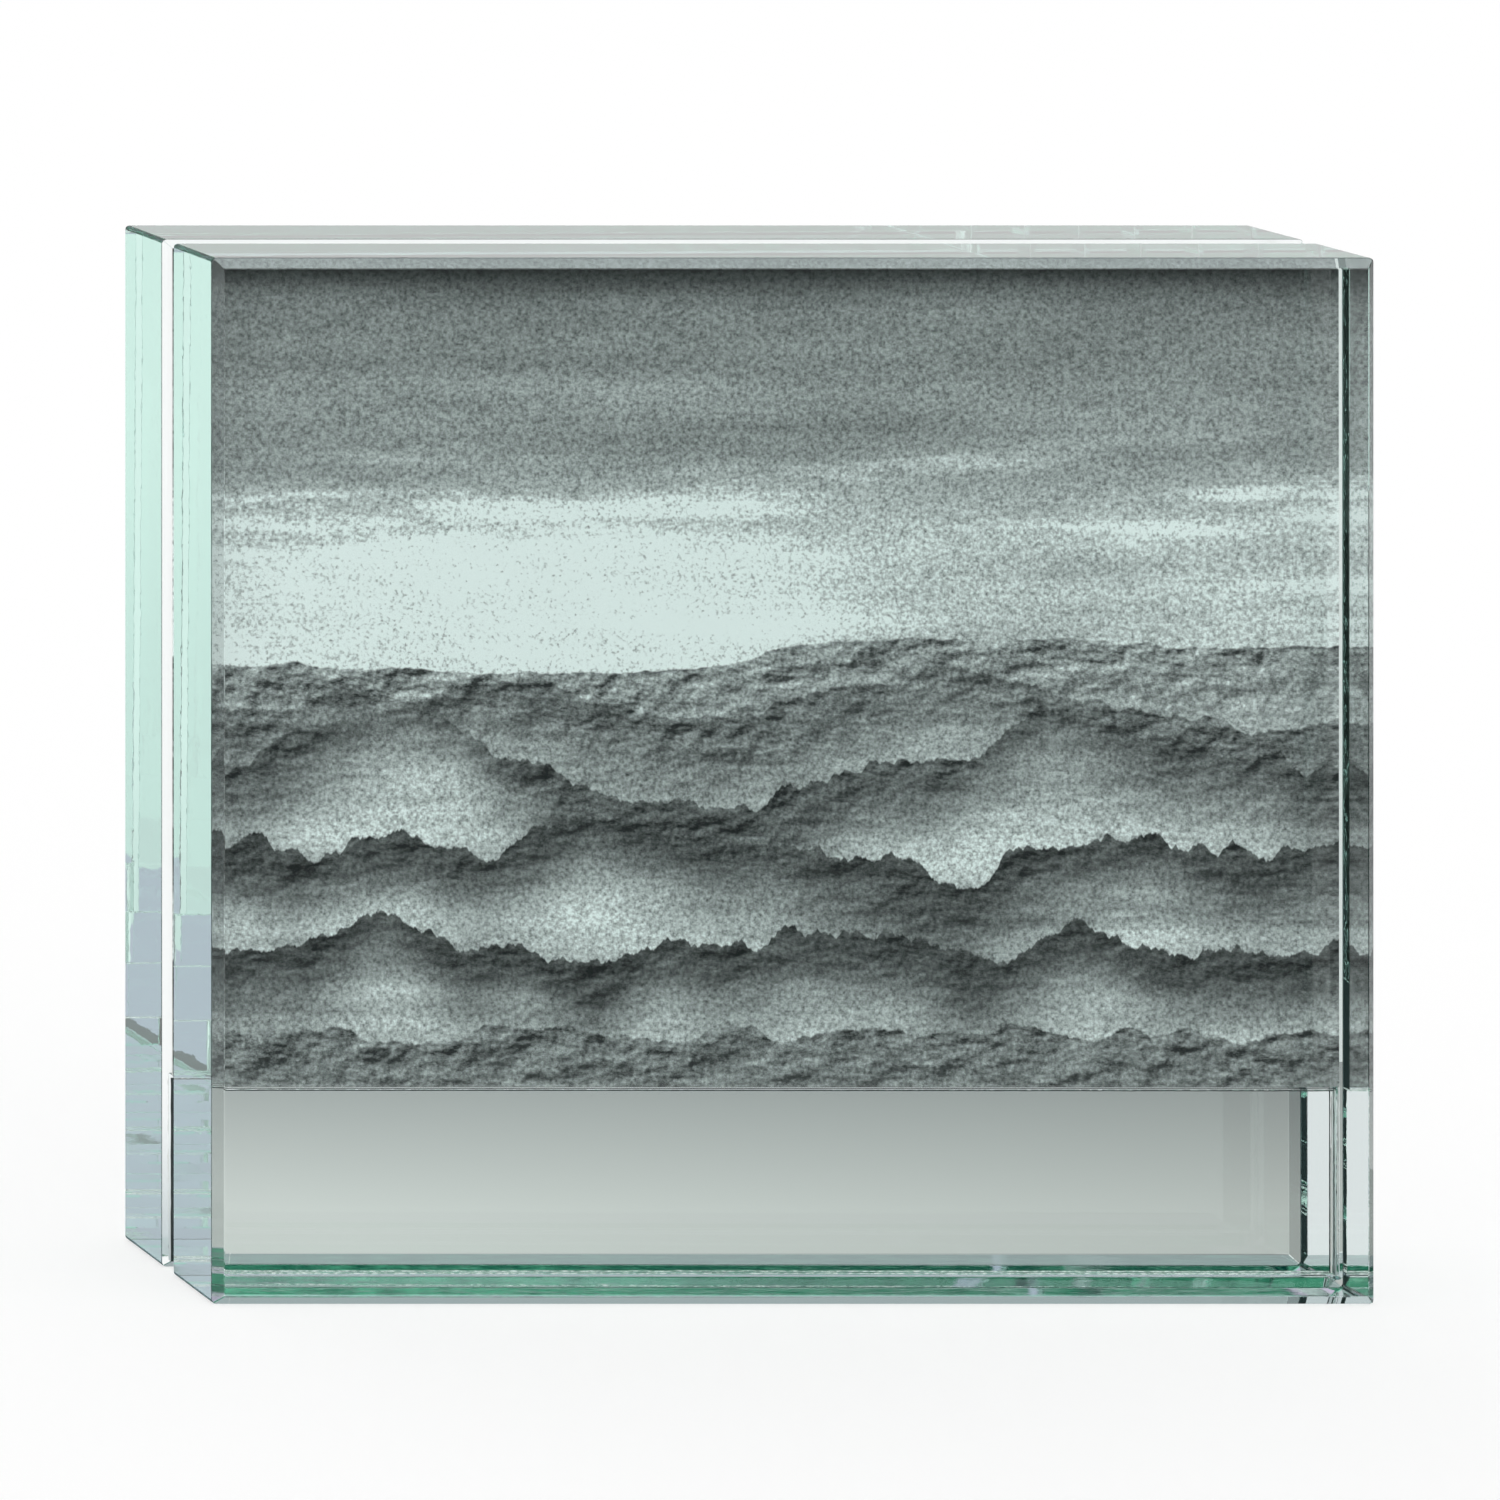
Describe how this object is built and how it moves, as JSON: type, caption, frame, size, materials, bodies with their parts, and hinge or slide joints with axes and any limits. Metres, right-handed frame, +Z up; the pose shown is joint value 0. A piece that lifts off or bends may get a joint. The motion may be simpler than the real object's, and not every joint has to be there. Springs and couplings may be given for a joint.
{
  "type": "glass block picture frame",
  "caption": "Free-standing picture frame of thick clear glass plates bonded through a strip, with a slot that a landscape print drops into from above.",
  "frame": {"origin": "middle of the footprint, on the surface that the frame stands on", "axes": "+X along the frame's width, to the right seen from the front; +Y from the front plate to the back plate; +Z up"},
  "size_m": [0.18, 0.0402, 0.162],
  "materials": {
    "plate_glass": "polished",
    "spacer_glass": "polished",
    "adhesive": "clear, cured",
    "photo_paper": "semi-gloss photo paper"
  },
  "bodies": {
    "glass_body": {"front_plate": "plate_glass", "back_plate": "plate_glass", "spacer_strip": "spacer_glass", "front_adhesive": "adhesive", "back_adhesive": "adhesive"},
    "print": {"photo_print": "photo_paper"}
  },
  "joints": [
    {"name": "print_lift", "type": "slide", "parent": "glass_body", "child": "print", "axis": [0, 0, 1], "range_m": [0, 0.131]}
  ]
}
